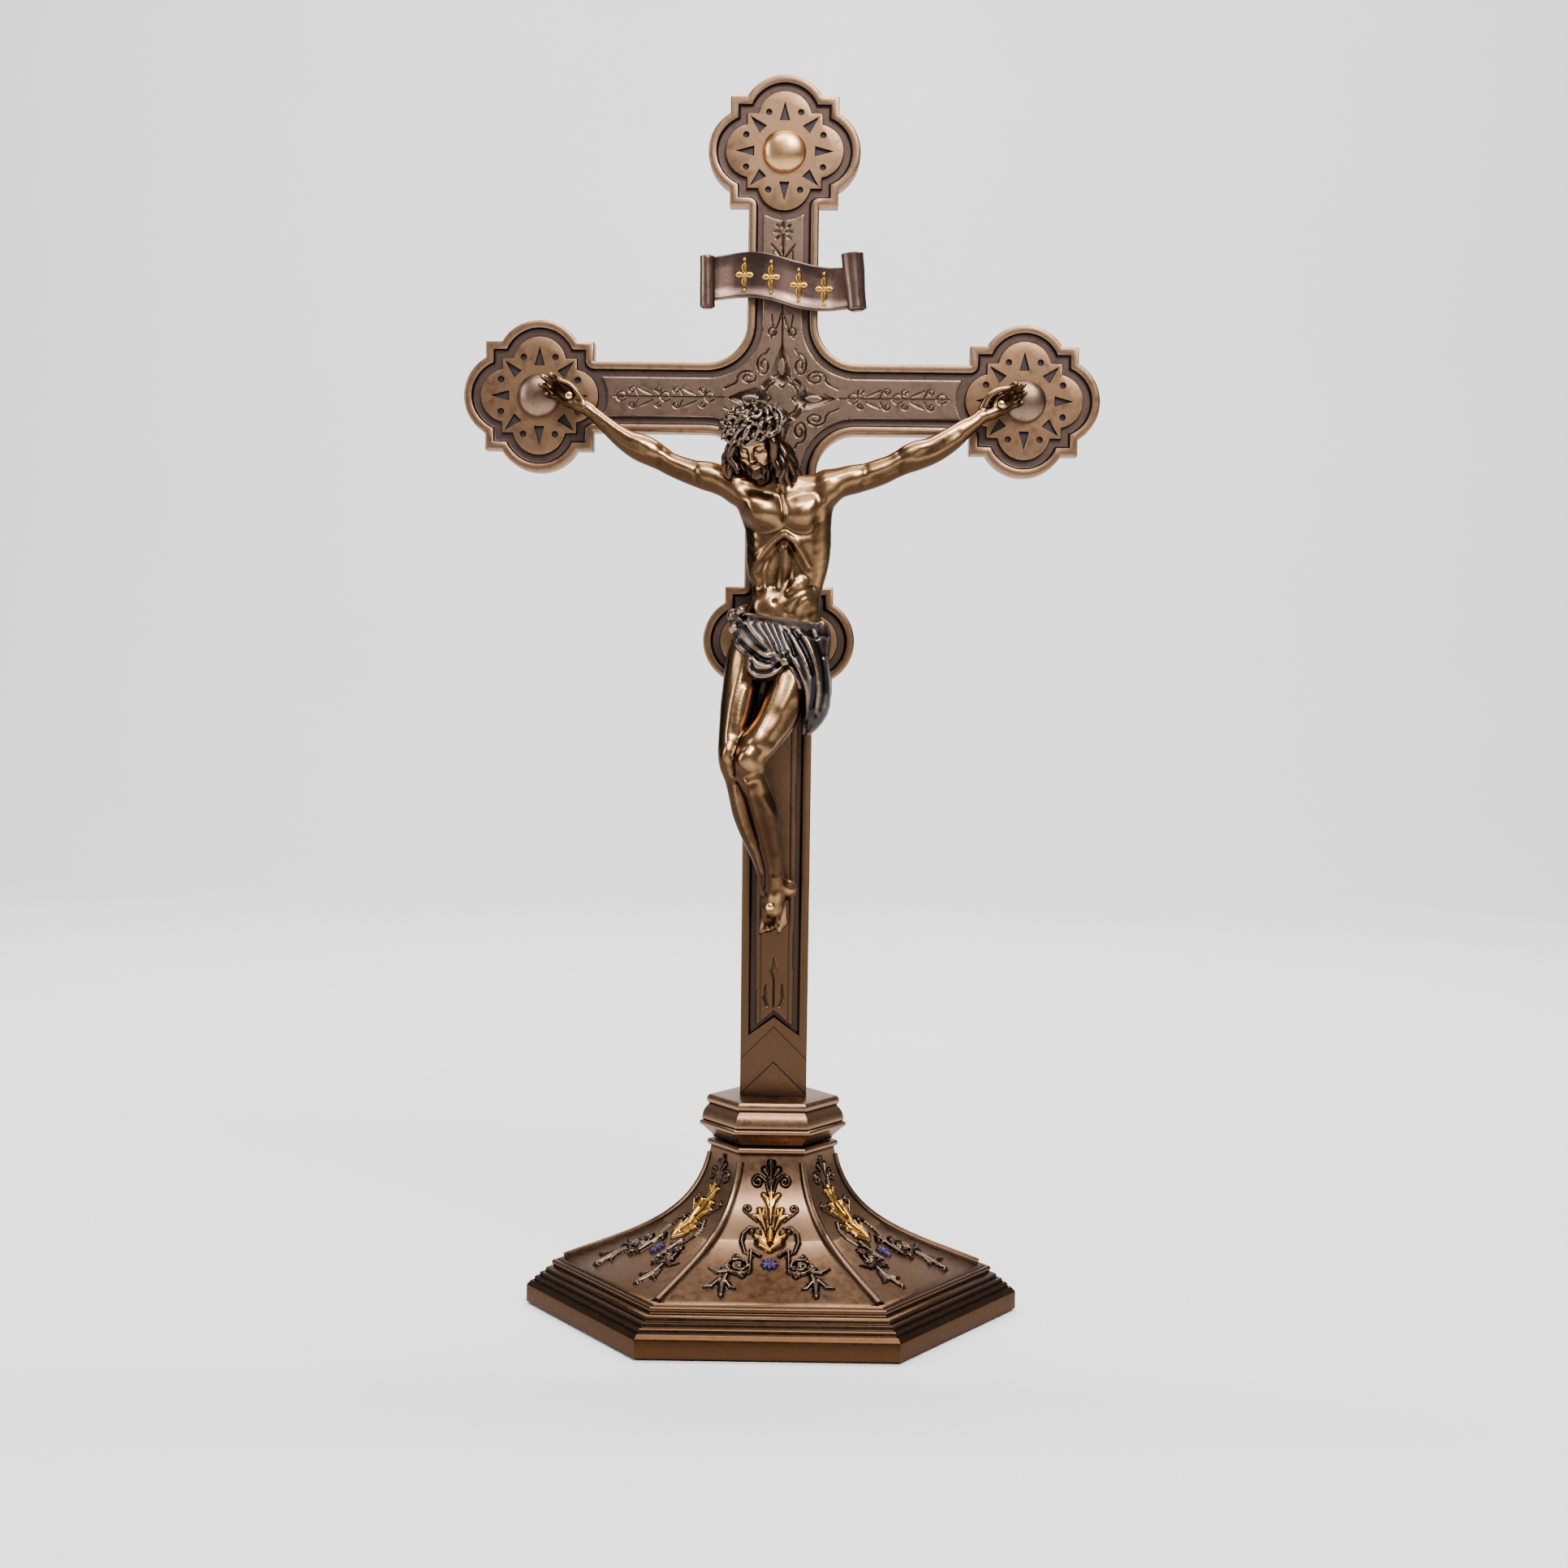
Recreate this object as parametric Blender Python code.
"""Altar cross: hollow hexagonal foot, collar, cross with four medallions, scroll plate and a figure.

The front faces -Y, +X is the viewer's right and +Z is up. Left and right in the names are the
viewer's. The origin is the middle of the underside. Lengths below are in millimetres, and MM
turns them into metres when a mesh is made.
"""
import math

import bmesh
import bpy
from mathutils import Matrix, Vector

MM = 0.001
GAP = 0.3

# Driving dimensions
FOOT_CORNER = 118.0        # centre to a corner of the hexagonal foot
FOOT_TOP = 82.0            # top of the foot's ring, where the collar stands
COLLAR_TOP = 103.0
SHAFT_HALF_LOW = 15.9      # half width of the shaft at the collar
SHAFT_HALF_HIGH = 16.7     # half width of the shaft's head and of the arms
PLATE_HALF = 6.25          # half thickness of the cross
CROSSING_Z = 435.8
MEDALLION_REACH = 115.0    # crossing to the middle of the side and lower medallions
TOP_REACH = 116.4          # crossing to the middle of the top medallion
CROTCH_RADIUS = 19.0       # hollow curve between the shaft and an arm

# Medallion: a square with a round lobe on each free side
SQUARE_HALF = 25.7
LOBE_RADIUS = 20.7
LOBE_OFFSET = 15.3
LOBE_STEPS = 10

# Fixings
ROD_RADIUS = 3.0
NAIL_RADIUS = 1.1
NUT_HALF = 2.9
BOSS_RADIUS = 10.3
BOSS_RISE = 4.8

WALL = 4.0                 # foot casting
COVER_TOP = 3.6
FELT_TOP = 1.7
RIM_LIFT = 0.6             # the rim hangs just clear, so the felt carries the weight

# Figure: places of its joints (x, y, z)
BODY_Y = -19.0
NAIL_LEFT = (-99.8, 434.8)
NAIL_RIGHT = (103.4, 432.9)
NAIL_FEET = (-2.3, 195.7)
BODY_SCREW = (-1.0, 321.0)
BODY_SCREW_RADIUS = 1.6
SHOULDER_LEFT = (-28.0, -20.0, 395.5)
SHOULDER_RIGHT = (29.0, -20.0, 394.6)
HEAD = (-11.7, -33.0, 410.0)


def material(name, color, roughness, metallic=1.0):
    made = bpy.data.materials.new(name)
    made.use_nodes = True
    shader = made.node_tree.nodes["Principled BSDF"]
    shader.inputs["Base Color"].default_value = (*color, 1.0)
    shader.inputs["Roughness"].default_value = roughness
    shader.inputs["Metallic"].default_value = metallic
    return made


# Meshes -----------------------------------------------------------------------------------------

def solid(name, points, faces, finish):
    """One closed object from points in millimetres."""
    mesh = bpy.data.meshes.new(name)
    mesh.from_pydata([Vector(p) * MM for p in points], [], faces)
    work = bmesh.new()
    work.from_mesh(mesh)
    bmesh.ops.recalc_face_normals(work, faces=work.faces)
    work.to_mesh(mesh)
    work.free()
    mesh.materials.append(finish)
    made = bpy.data.objects.new(name, mesh)
    bpy.context.scene.collection.objects.link(made)
    return made


def loft(name, rings, finish):
    """A closed skin over rings with equal numbers of points."""
    count = len(rings[0])
    points = [p for ring in rings for p in ring]
    faces = [list(range(count)), list(range(len(points) - count, len(points)))]
    for low in range(0, len(points) - count, count):
        for i in range(count):
            j = (i + 1) % count
            faces.append([low + i, low + j, low + count + j, low + count + i])
    return solid(name, points, faces, finish)


def hexagon(corner, z):
    turns = [math.radians(60 * k) for k in range(6)]
    return [(corner * math.cos(t), corner * math.sin(t), z) for t in turns]


def hex_stack(name, profile, finish):
    """A hexagonal turned shape: profile is (corner radius, z) from the bottom up."""
    return loft(name, [hexagon(r, z) for r, z in profile], finish)


def circle_along_y(x, z, radius, y, sides, start=0.0):
    turns = [start + math.tau * k / sides for k in range(sides)]
    return [(x + radius * math.cos(t), y, z + radius * math.sin(t)) for t in turns]


def turned_along_y(name, x, z, profile, finish, sides=16, start=0.0):
    """A turned piece whose axis runs along Y: profile is (y, radius)."""
    rings = [circle_along_y(x, z, r, y, sides, start) for y, r in profile]
    return loft(name, rings, finish)


def turned_along_z(name, profile, finish, sides=16):
    """A turned piece on the main axis: profile is (z, radius)."""
    turns = [math.tau * k / sides for k in range(sides)]
    rings = [[(r * math.cos(t), r * math.sin(t), z) for t in turns] for z, r in profile]
    return loft(name, rings, finish)


def tube(name, stations, finish, sides=12):
    """A limb: stations are (centre, half width, half depth) along a path.

    Each section is an ellipse square to the path, wide across the view and deep along Y.
    """
    centres = [Vector(s[0]) for s in stations]
    last = len(centres) - 1
    rings = []
    for i, (centre, (_, wide, deep)) in enumerate(zip(centres, stations)):
        along = (centres[min(i + 1, last)] - centres[max(i - 1, 0)]).normalized()
        across = along.cross(Vector((0, 1, 0))).normalized()
        front = across.cross(along)
        turns = [math.tau * k / sides for k in range(sides)]
        rings.append([centre + across * wide * math.cos(t) + front * deep * math.sin(t) for t in turns])
    return loft(name, rings, finish)


def grown(stations, extra):
    return [(centre, wide + extra, deep + extra) for centre, wide, deep in stations]


def combine(base, others, operation):
    """Unites others with base or cuts them from it; they stay behind as hidden guides."""
    for other in others:
        step = base.modifiers.new(operation.lower(), "BOOLEAN")
        step.operation = operation
        step.solver = "EXACT"
        step.object = other
        other.hide_render = True
        other.display_type = "WIRE"
    return base


def round_over(target, width):
    """Softens the edges of a prism."""
    bevel = target.modifiers.new("edges", "BEVEL")
    bevel.width = width * MM
    bevel.segments = 1
    bevel.limit_method = "ANGLE"
    bevel.angle_limit = math.radians(50)


def hole_along_y(name, x, z, radius, y_from, y_to, finish):
    return turned_along_y(name, x, z, [(y_from, radius), (y_to, radius)], finish, sides=12)


# Foot and collar --------------------------------------------------------------------------------

def bezier(controls, steps):
    a, b, c, d = (Vector(p) for p in controls)
    points = []
    for k in range(steps + 1):
        t = k / steps
        u = 1 - t
        points.append(a * u**3 + b * 3 * u * u * t + c * 3 * u * t * t + d * t**3)
    return [(p.x, p.y) for p in points]


BELL_CURVE = ((101.9, 22.3), (68.0, 36.0), (36.0, 42.0), (29.8, 77.2))


def make_foot(finish, hidden):
    """Hollow casting: plinth, sloping skirt, hollow-curved bell and the ring at its top."""
    plinth = [(FOOT_CORNER, RIM_LIFT), (FOOT_CORNER, 9.6), (116.2, 11.2), (107.0, 18.4)]
    ring = [(29.8, 78.6), (31.2, 79.4), (31.2, FOOT_TOP - 0.8), (30.4, FOOT_TOP)]
    foot = hex_stack("foot_bell", plinth + bezier(BELL_CURVE, 12) + ring, finish)

    recess = [(FOOT_CORNER - 5.0, -1.0), (FOOT_CORNER - 5.0, COVER_TOP + GAP), (FOOT_CORNER - 10.0, COVER_TOP + GAP)]
    skirt = [(FOOT_CORNER - 12.0, 12.0)]
    inside = [(r - WALL * 1.1, z - WALL * 0.9) for r, z in bezier(BELL_CURVE, 8)]
    inside = [p for p in inside if p[1] > 17.0]
    hollow = hex_stack("foot_hollow", recess + skirt + inside, hidden)
    bore = turned_along_z("foot_bore", [(50.0, ROD_RADIUS + GAP), (95.0, ROD_RADIUS + GAP)], hidden, 12)
    return combine(foot, [hollow, bore], "DIFFERENCE")


def make_collar(finish, hidden):
    """Solid collar: neck, bead, ogee and the square slab that the shaft stands on."""
    low = FOOT_TOP + GAP
    neck = [(28.6, low), (28.6, 84.2), (30.2, 86.2), (33.6, 87.6)]
    bead = [(34.8, 88.6), (35.2, 89.8), (34.6, 91.0), (33.0, 91.8)]
    ogee = [(32.8, 92.8), (32.0, 94.4), (30.4, 95.8), (29.8, 97.2), (30.6, 98.6)]
    slab = [(31.8, 98.9), (31.8, COLLAR_TOP)]
    collar = hex_stack("collar", neck + bead + ogee + slab, finish)
    bore = turned_along_z("collar_bore", [(75.0, ROD_RADIUS + GAP), (110.0, ROD_RADIUS + GAP)], hidden, 12)
    return combine(collar, [bore], "DIFFERENCE")


def make_underside(steel, brass, felt):
    hex_stack("cover_plate", [(FOOT_CORNER - 5.4, FELT_TOP + GAP), (FOOT_CORNER - 5.4, COVER_TOP)], brass)
    hex_stack("felt_pad", [(FOOT_CORNER - 5.8, 0.0), (FOOT_CORNER - 5.8, FELT_TOP)], felt)
    ceiling = 72.6
    turned_along_z("tie_rod", [(60.0, ROD_RADIUS - 0.5), (60.5, ROD_RADIUS), (127.0, ROD_RADIUS)], steel, 12)
    washer = ring_on_rod("tie_washer", ceiling - 1.6, ceiling, 9.0, 24, steel)
    nut = ring_on_rod("tie_nut", ceiling - 6.9, ceiling - 1.6 - GAP, 5.8, 6, steel)
    return washer, nut


def ring_on_rod(name, low, high, radius, sides, finish):
    """A flat ring round the tie rod; six sides make it a nut."""
    bore = ROD_RADIUS + GAP
    outer = [[(radius * math.cos(math.tau * k / sides), radius * math.sin(math.tau * k / sides), z)
              for k in range(sides)] for z in (low, high)]
    blank = loft(name, outer, finish)
    drill = turned_along_z(name + "_bore", [(low - 1, bore), (high + 1, bore)], finish, 12)
    return combine(blank, [drill], "DIFFERENCE")


# Cross ------------------------------------------------------------------------------------------

def medallion_side(cx, cz, degrees, whole=True):
    """One free side of a medallion, corner to corner, or only up to the middle of its lobe."""
    out = Vector((math.cos(math.radians(degrees)), math.sin(math.radians(degrees))))
    along = Vector((-out.y, out.x))
    reach = SQUARE_HALF - LOBE_OFFSET
    spread = math.acos(reach / LOBE_RADIUS)
    steps = LOBE_STEPS if whole else LOBE_STEPS // 2
    turns = [-spread + 2 * spread * k / LOBE_STEPS for k in range(steps + 1)]
    local = [(SQUARE_HALF, -SQUARE_HALF)]
    local += [(LOBE_OFFSET + LOBE_RADIUS * math.cos(t), LOBE_RADIUS * math.sin(t)) for t in turns]
    if whole:
        local.append((SQUARE_HALF, SQUARE_HALF))
    middle = Vector((cx, cz))
    return [tuple(middle + out * a + along * b) for a, b in local]


def crotch(x_sign_up):
    """Hollow curve from the shaft to an arm on the right-hand side, below or above the arm."""
    r, half = CROTCH_RADIUS, SHAFT_HALF_HIGH
    cx, cz = half + r, CROSSING_Z + x_sign_up * (half + r)
    turns = [math.radians(90 * k / 6) for k in range(7)]
    arc = [(cx - r * math.cos(t), cz - x_sign_up * r * math.sin(t)) for t in turns]
    return arc if x_sign_up < 0 else arc[::-1]


def cross_outline():
    """The right half from the collar to the top, mirrored to the left."""
    low, high, square = SHAFT_HALF_LOW, SHAFT_HALF_HIGH, SQUARE_HALF
    foot_z = COLLAR_TOP + GAP
    lower_z = CROSSING_Z - MEDALLION_REACH
    top_z = CROSSING_Z + TOP_REACH
    arm_x = MEDALLION_REACH
    half = [(low, foot_z), (high - 0.3, lower_z - square)]
    half += medallion_side(0, lower_z, 0)
    half += [(high, lower_z + square)]
    half += crotch(-1)
    half += [(arm_x - square, CROSSING_Z - high)]
    for degrees in (-90, 0, 90):
        half += medallion_side(arm_x, CROSSING_Z, degrees)
    half = dropped_repeats(half)
    half += [(arm_x - square, CROSSING_Z + high)]
    half += crotch(1)
    half += [(high, top_z - square)]
    half += medallion_side(0, top_z, 0)
    half += medallion_side(0, top_z, 90, whole=False)
    half = dropped_repeats(half)
    mirrored = [(-x, z) for x, z in reversed(half) if x > 0.001]
    return half + mirrored


def dropped_repeats(points):
    kept = points[:1]
    for p in points[1:]:
        if (Vector(p) - Vector(kept[-1])).length > 0.001:
            kept.append(p)
    return kept


def make_cross(finish, hidden):
    rings = [[(x, y, z) for x, z in cross_outline()] for y in (-PLATE_HALF, PLATE_HALF)]
    cross = loft("cross_plate", rings, finish)
    round_over(cross, 0.8)
    cutters = [turned_along_z("rod_socket", [(90.0, ROD_RADIUS + GAP), (128.0, ROD_RADIUS + GAP)], hidden, 12)]
    for name, (x, z) in nail_places().items():
        cutters.append(hole_along_y(name + "_hole", x, z, NAIL_RADIUS + GAP, -9.0, 9.0, hidden))
    for name, (x, z) in boss_places().items():
        cutters.append(hole_along_y(name + "_socket", x, z, 2.3, -9.0, 1.0, hidden))
    for name, (x, z) in screw_places().items():
        cutters.append(hole_along_y(name + "_hole", x, z, 1.0 + GAP, -9.0, 9.0, hidden))
    cutters.append(body_screw_hole("body_screw_hole", -9.0, hidden))
    return combine(cross, cutters, "DIFFERENCE")


def nail_places():
    return {"nail_hand_left": NAIL_LEFT, "nail_hand_right": NAIL_RIGHT, "nail_feet": NAIL_FEET}


def boss_places():
    reach = MEDALLION_REACH
    return {
        "boss_top": (0, CROSSING_Z + TOP_REACH),
        "boss_left": (-reach, CROSSING_Z),
        "boss_right": (reach, CROSSING_Z),
    }


def screw_places():
    return {"scroll_screw_left": (-8.0, 492.6), "scroll_screw_right": (8.0, 489.0)}


def body_screw_hole(name, y_from, finish):
    """Clearance for the screw that draws the figure's hips against the lower medallion."""
    return hole_along_y(name, *BODY_SCREW, BODY_SCREW_RADIUS + GAP, y_from, 9.0, finish)


def make_bosses(finish):
    """Domed bosses, each with a short peg in the cross; the figure covers the lower medallion."""
    for name, (x, z) in boss_places().items():
        back = -PLATE_HALF - GAP
        arc = [math.radians(90 * k / 5) for k in range(5)]
        dome = [(back - 0.6 - BOSS_RISE * math.sin(t), BOSS_RADIUS * math.cos(t)) for t in arc]
        tip = [(back - 0.6 - BOSS_RISE, 0.8)]
        peg = [(0.5, 2.0), (back, 2.0), (back, BOSS_RADIUS)]
        turned_along_y(name, x, z, peg + dome + tip, finish, 24)


# Scroll plate -----------------------------------------------------------------------------------

def make_scroll(finish, hidden):
    """A waving ribbon across the shaft, rolled forward into a quill at each end."""
    half_high = 10.8
    back = -PLATE_HALF - GAP
    middle = [(-33.0, 491.0), (-24.0, 492.2), (-15.0, 493.2), (-7.0, 492.2), (0.0, 490.5),
              (8.0, 488.2), (16.0, 487.0), (25.0, 487.2), (31.5, 487.6)]
    rings = []
    for x, z in middle:
        bow = 2.2 * math.cos(math.pi * x / 70)
        front = back - 1.8 - bow
        rings.append([(x, back, z - half_high), (x, front, z - half_high),
                      (x, front, z + half_high), (x, back, z + half_high)])
    ribbon = loft("scroll_plate", rings, finish)
    quills = []
    for name, low, high, radius in (("left", (-35.0, 480.0), (-36.0, 503.0), 3.2),
                                    ("right", (34.5, 478.5), (30.8, 502.0), 4.4)):
        ends = [(p[0], back - radius, p[1]) for p in (low, high)]
        quills.append(tube("quill_" + name, [(ends[0], radius, radius), (ends[1], radius, radius)], hidden))
    combine(ribbon, quills, "UNION")
    pilots = [hole_along_y(name + "_pilot", x, z, 1.0 + GAP, -9.4, -5.0, hidden)
              for name, (x, z) in screw_places().items()]
    return combine(ribbon, pilots, "DIFFERENCE")


def make_screw(name, x, z, tip, radius, finish):
    """A screw put in from behind, with a low domed head."""
    head = PLATE_HALF + GAP
    rim = radius * 2.1
    profile = [(tip, radius), (head, radius), (head, rim), (head + 0.8, rim), (head + 1.4, rim * 0.6)]
    turned_along_y(name, x, z, profile, finish, 12)


def make_screws(finish):
    for name, (x, z) in screw_places().items():
        make_screw(name, x, z, -9.0, 1.0, finish)
    make_screw("body_screw", *BODY_SCREW, -16.0, BODY_SCREW_RADIUS, finish)


# Figure -----------------------------------------------------------------------------------------

def torso_stations():
    return [((1.0, BODY_Y - 1.0, 399.0), 9.0, 5.0), ((1.5, BODY_Y, 395.5), 17.0, 8.0),
            ((2.5, BODY_Y, 388.0), 21.0, 10.0), ((3.0, BODY_Y - 1.0, 378.0), 21.5, 11.0),
            ((3.7, BODY_Y, 366.0), 19.8, 10.0), ((3.4, BODY_Y, 355.0), 18.8, 9.5),
            ((3.2, BODY_Y, 346.0), 16.8, 8.8), ((2.4, BODY_Y, 337.0), 16.8, 9.0),
            ((-0.5, BODY_Y, 325.0), 18.0, 10.0), ((-1.5, BODY_Y, 314.0), 17.0, 9.5),
            ((-1.5, BODY_Y, 307.0), 10.0, 6.0)]


def shoulder_stations(side, shoulder):
    inner = (side * 14.0 + 1.5, BODY_Y, 390.0)
    return [(inner, 6.0, 6.0), ((side * 21.0 + 1.0, BODY_Y - 0.5, 393.5), 7.0, 6.6), (shoulder, 6.4, 6.2)]


def thigh_left_stations():
    return [((-10.0, -18.5, 322.0), 7.0, 6.5), ((-14.5, -21.5, 306.0), 9.5, 9.0),
            ((-18.0, -26.0, 286.0), 8.6, 8.6), ((-20.0, -30.5, 266.0), 7.2, 7.4)]


def thigh_right_stations():
    return [((8.0, -18.5, 322.0), 8.0, 7.0), ((4.5, -23.0, 305.0), 10.5, 9.5),
            ((-3.5, -30.5, 286.0), 10.5, 9.5), ((-12.0, -37.0, 266.0), 8.0, 7.8)]


def shin_left_stations():
    return [((-20.5, -31.5, 268.0), 6.6, 6.4), ((-17.5, -27.5, 250.0), 6.8, 6.6),
            ((-11.5, -22.5, 228.0), 5.6, 5.6), ((-3.5, -17.0, 207.0), 4.0, 4.2)]


def shin_right_stations():
    return [((-12.5, -38.0, 268.0), 7.4, 6.8), ((-8.5, -34.0, 250.0), 7.4, 7.2),
            ((-4.0, -29.5, 232.0), 6.8, 6.6), ((0.5, -23.5, 210.0), 4.9, 5.0)]


def feet_stations():
    return [((0.5, -20.5, 212.0), 5.5, 6.0), ((2.0, -17.5, 203.0), 7.0, 8.0),
            ((-1.0, -16.5, 194.0), 6.6, 6.4), ((-1.5, -14.5, 184.0), 6.2, 4.6), ((-1.5, -13.5, 182.0), 5.0, 3.0)]


def head_stations():
    """From the beard up through the skull, leaning forward and to the left."""
    top = Vector((0.12, 0.30, 1.0)).normalized()
    heights = ((-17.0, 3.0), (-13.0, 7.0), (-6.0, 9.8), (2.0, 11.2), (9.0, 10.4), (14.0, 7.0), (16.0, 3.0))
    return [(tuple(Vector(HEAD) + top * h), r, r * 1.08) for h, r in heights]


def body_limbs():
    return {
        "torso": (torso_stations(), 20),
        "shoulder_l": (shoulder_stations(-1, SHOULDER_LEFT), 12),
        "shoulder_r": (shoulder_stations(1, SHOULDER_RIGHT), 12),
        "neck": ([((0.0, -20.0, 392.0), 7.0, 6.5), ((-7.0, -27.0, 404.0), 7.5, 7.0)], 12),
        "head": (head_stations(), 16),
        "thigh_l": (thigh_left_stations(), 12),
        "thigh_r": (thigh_right_stations(), 12),
        "shin_l": (shin_left_stations(), 12),
        "shin_r": (shin_right_stations(), 12),
        "feet": (feet_stations(), 12),
    }


def make_body(finish, hidden):
    """Head, torso and legs, cast in one; the arms are pinned on at the shoulders."""
    limbs = body_limbs()
    stations, sides = limbs.pop("torso")
    body = tube("figure_body", stations, finish, sides)
    others = [tube("body_" + name, s, hidden, n) for name, (s, n) in limbs.items()]
    combine(body, others, "UNION")
    cutters = [hole_along_y("feet_nail_hole", *NAIL_FEET, NAIL_RADIUS + GAP, -30.0, -5.0, hidden),
               body_screw_hole("body_screw_thread", -16.0 - GAP, hidden)]
    for name, side, shoulder in dowels():
        cutters.append(shoulder_dowel(name + "_hole", side, shoulder, 1.5 + GAP, 6.3, hidden))
        cutters.append(joint_trim(name + "_body_face", side, shoulder, outward=True, finish=hidden))
    return combine(body, cutters, "DIFFERENCE")


def arm_stations(side):
    """From the shoulder joint out to the fingertips."""
    if side < 0:
        shoulder = SHOULDER_LEFT
        path = [(-46.4, -20.0, 401.0), (-61.8, -19.0, 409.0), (-77.0, -17.5, 417.0), (-86.8, -16.0, 424.6),
                (-92.5, -15.0, 429.6), (-99.8, -14.8, 434.4), (-107.0, -15.0, 437.4), (-112.5, -16.0, 439.2)]
    else:
        shoulder = SHOULDER_RIGHT
        path = [(40.0, -20.5, 397.4), (56.5, -19.0, 405.2), (71.7, -17.5, 412.8), (83.0, -16.0, 419.2),
                (92.4, -15.0, 426.0), (102.6, -14.8, 432.8), (109.0, -15.0, 436.4), (114.0, -16.0, 438.6)]
    widths = ((6.0, 5.8), (6.1, 5.6), (5.7, 5.2), (4.0, 3.8), (2.9, 2.9), (5.2, 2.4), (4.4, 2.1), (2.2, 1.2))
    return [(shoulder, 6.2, 6.0)] + [(p, w, d) for p, (w, d) in zip(path, widths)]


def dowels():
    return (("shoulder_dowel_left", -1, SHOULDER_LEFT), ("shoulder_dowel_right", 1, SHOULDER_RIGHT))


def shoulder_dowel(name, side, shoulder, radius, half, finish):
    x, y, z = shoulder
    lift = 0.12 * half
    ends = [((x - side * half, y, z - lift), radius, radius), ((x + side * half, y, z + lift), radius, radius)]
    return tube(name, ends, finish, 10)


def make_arms(finish, hidden):
    nails = {-1: NAIL_LEFT, 1: NAIL_RIGHT}
    names = {-1: "figure_arm_left", 1: "figure_arm_right"}
    for dowel, side, shoulder in dowels():
        arm = tube(names[side], arm_stations(side), finish)
        body_side = joint_trim(dowel + "_arm_face", side, shoulder, outward=False, finish=hidden)
        holes = [hole_along_y(names[side] + "_nail", *nails[side], NAIL_RADIUS + GAP, -24.0, -5.0, hidden),
                 shoulder_dowel(dowel + "_socket", side, shoulder, 1.5 + GAP, 6.3, hidden), body_side]
        combine(arm, holes, "DIFFERENCE")


def joint_trim(name, side, shoulder, outward, finish):
    """A block that trims a shoulder joint to a flat face, half the gap from the joint's plane."""
    x, y, z = shoulder
    away = side if outward else -side
    near, far = x - away * GAP / 2, x + away * 14.0
    rings = [[(at, y - 12, z - 12), (at, y + 12, z - 12), (at, y + 12, z + 12), (at, y - 12, z + 12)]
             for at in (near, far)]
    return loft(name, rings, finish)


def make_dowels(steel):
    for name, side, shoulder in dowels():
        shoulder_dowel(name, side, shoulder, 1.5, 5.8, steel)


def make_loincloth(finish, hidden):
    """A cloth wound round the hips, with a knot at the left and a fall at the right."""
    wrap = [((1.4, BODY_Y, 336.5), 18.4, 11.2), ((0.0, BODY_Y - 0.3, 328.0), 20.4, 12.0),
            ((-1.0, BODY_Y - 1.5, 318.0), 21.6, 12.8), ((-2.0, BODY_Y - 3.0, 306.0), 22.2, 13.0),
            ((-2.0, BODY_Y - 4.0, 300.0), 19.0, 12.0)]
    fall = [((14.0, -24.0, 334.0), 6.0, 4.5), ((17.0, -24.0, 318.0), 7.0, 5.6), ((17.5, -23.0, 300.0), 6.6, 5.6),
            ((15.0, -21.5, 286.0), 5.6, 4.8), ((13.0, -21.0, 279.5), 3.0, 3.0)]
    knot = [((-21.5, -23.0, 340.0), 3.0, 3.0), ((-19.5, -25.0, 334.0), 4.6, 4.4), ((-18.0, -26.0, 327.0), 3.0, 3.0)]
    cloth = tube("loincloth", wrap, finish, 24)
    combine(cloth, [tube("cloth_fall", fall, hidden), tube("cloth_knot", knot, hidden)], "UNION")
    limbs = body_limbs()
    inside = [tube("inside_" + name, grown(limbs[name][0], GAP + 0.1), hidden, limbs[name][1])
              for name in ("torso", "thigh_l", "thigh_r")]
    wall = loft("cross_clearance", [[(x, y, z) for x in (-60, 60) for z in ((280, 345) if x < 0 else (345, 280))]
                                    for y in (-PLATE_HALF - GAP, 10.0)], hidden)
    return combine(cloth, inside + [wall, body_screw_hole("cloth_screw_hole", -16.0, hidden)], "DIFFERENCE")


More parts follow.
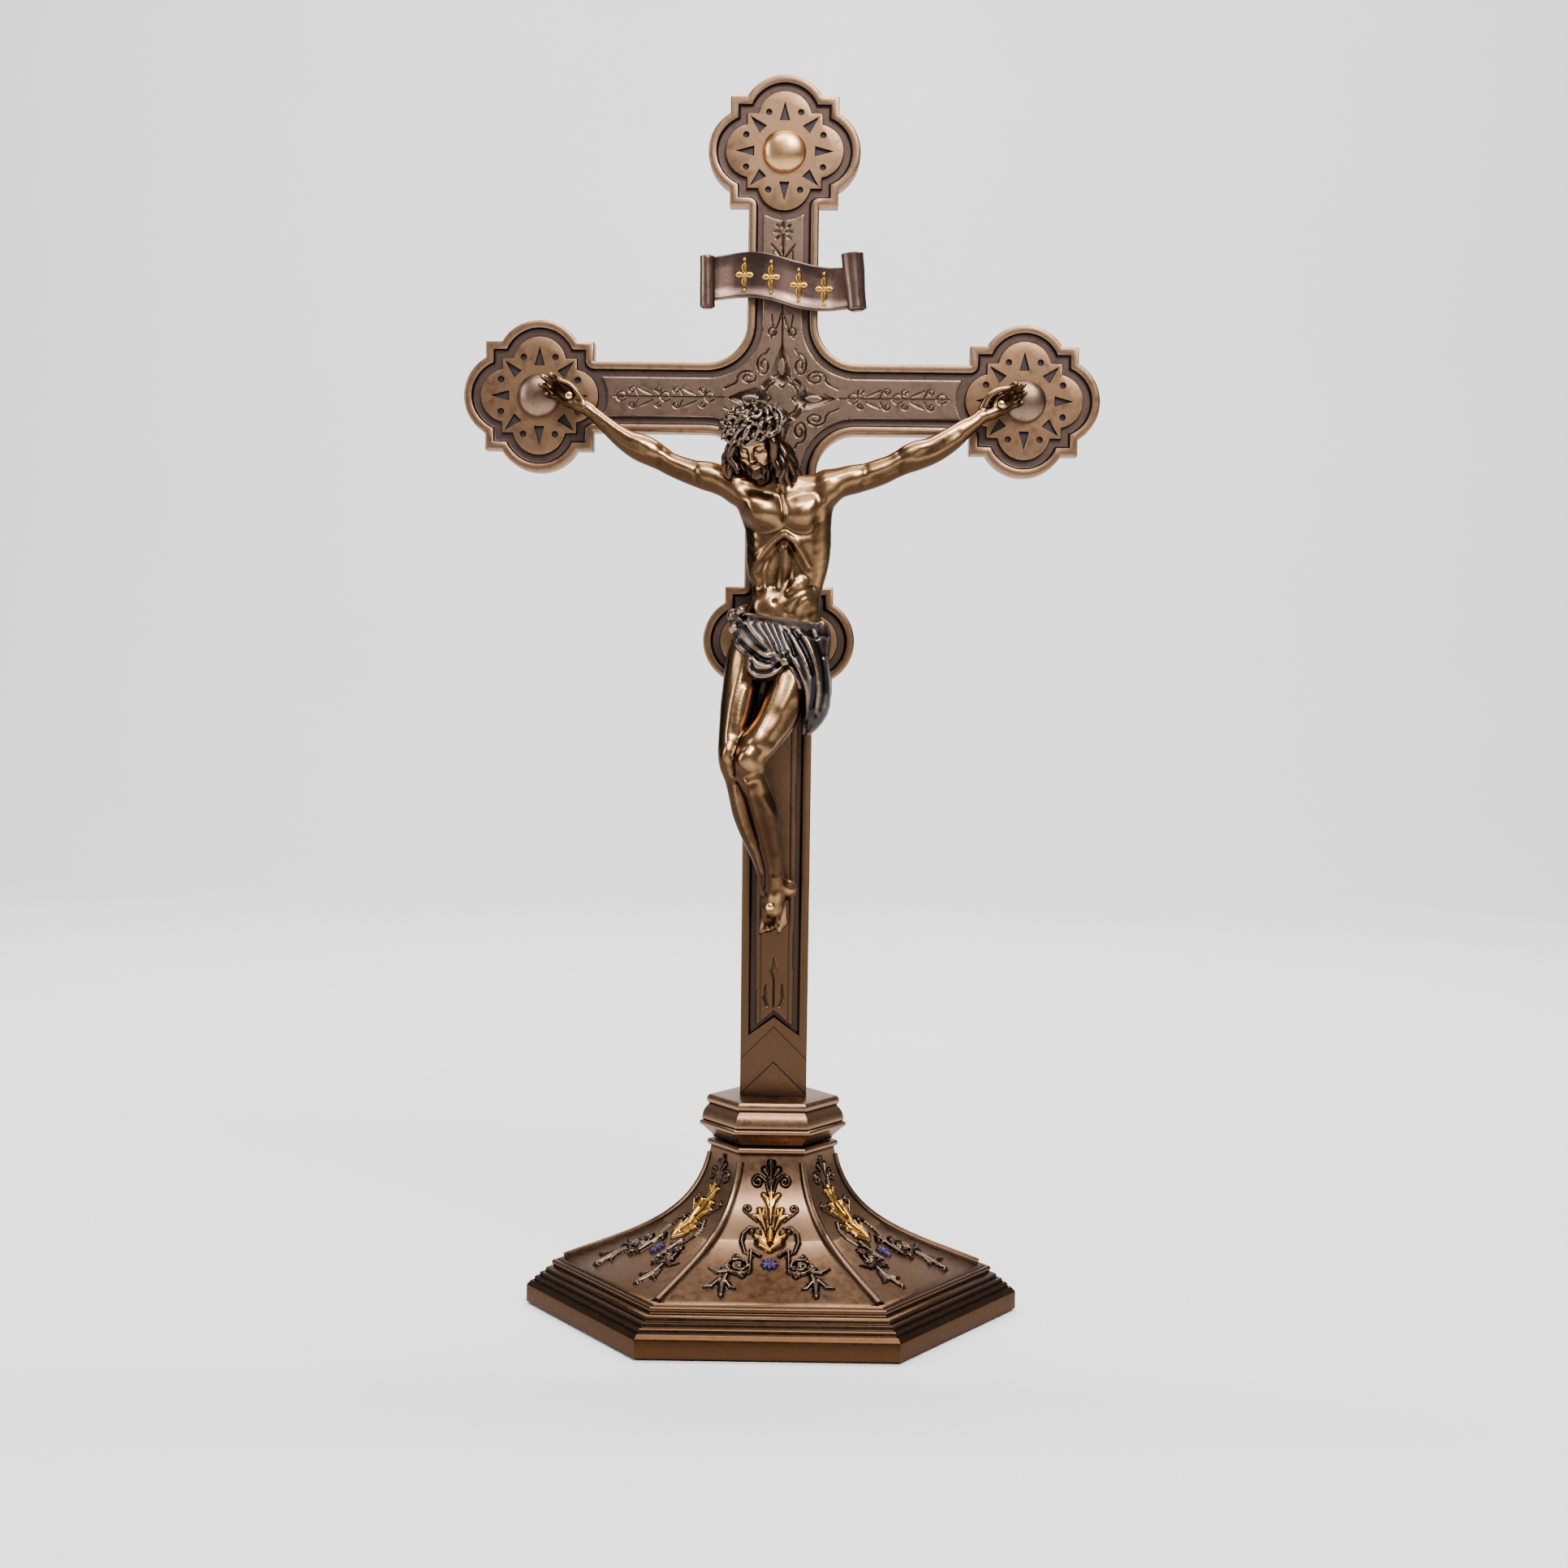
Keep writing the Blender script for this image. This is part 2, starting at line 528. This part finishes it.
def make_crown(finish):
    """Plaited ring of thorns, resting round the head."""
    top = Vector((0.12, 0.30, 1.0)).normalized()
    centre = Vector(HEAD) + top * 8.0
    across = top.cross(Vector((0, 1, 0))).normalized()
    front = across.cross(top)
    ring_radius, cord = 15.6, 3.4
    rings = []
    for i in range(24):
        turn = math.tau * i / 24
        out = across * math.cos(turn) + front * math.sin(turn)
        rings.append([centre + out * (ring_radius + cord * math.cos(math.tau * k / 8))
                      + top * cord * 0.8 * math.sin(math.tau * k / 8) for k in range(8)])
    points = [p for ring in rings for p in ring]
    faces = [[i * 8 + k, i * 8 + (k + 1) % 8, (i + 1) % 24 * 8 + (k + 1) % 8, (i + 1) % 24 * 8 + k]
             for i in range(24) for k in range(8)]
    return solid("crown_of_thorns", points, faces, finish)


def make_nails(finish, nuts, hidden):
    """Threaded nails through the hands and feet, each held by a nut behind the cross."""
    heads = {"nail_hand_left": -17.6, "nail_hand_right": -17.6, "nail_feet": -25.6}
    for name, (x, z) in nail_places().items():
        under = heads[name]
        profile = [(PLATE_HALF + 3.6, NAIL_RADIUS), (under, NAIL_RADIUS), (under, 1.9),
                   (under - 0.7, 1.8), (under - 1.3, 0.9)]
        turned_along_y(name, x, z, profile, finish, 12)
        low, high = PLATE_HALF + GAP, PLATE_HALF + 3.0
        nut = turned_along_y(name.replace("nail", "nut"), x, z, [(low, NUT_HALF), (high, NUT_HALF)], nuts, 6)
        drill = hole_along_y(name + "_thread", x, z, NAIL_RADIUS + GAP, low - 1, high + 1, hidden)
        combine(nut, [drill], "DIFFERENCE")


def main():
    for old in list(bpy.data.objects):
        bpy.data.objects.remove(old)
    bronze = material("antique_bronze", (0.30, 0.19, 0.11), 0.42)
    dark_bronze = material("figure_bronze", (0.20, 0.12, 0.06), 0.25)
    black_bronze = material("black_patina", (0.03, 0.03, 0.035), 0.35)
    plate_bronze = material("scroll_bronze", (0.16, 0.11, 0.10), 0.38)
    gilt = material("gilt", (0.80, 0.55, 0.22), 0.25)
    brass = material("plain_brass", (0.62, 0.45, 0.20), 0.40)
    steel = material("plain_steel", (0.45, 0.45, 0.46), 0.35)
    felt = material("green_felt", (0.03, 0.08, 0.04), 0.95, 0.0)

    make_foot(bronze, steel)
    make_collar(bronze, steel)
    make_underside(steel, brass, felt)
    make_cross(bronze, steel)
    make_bosses(bronze)
    make_scroll(plate_bronze, steel)
    make_screws(brass)
    make_body(dark_bronze, steel)
    make_arms(dark_bronze, steel)
    make_dowels(steel)
    make_loincloth(black_bronze, steel)
    make_crown(black_bronze)
    make_nails(gilt, brass, steel)


main()
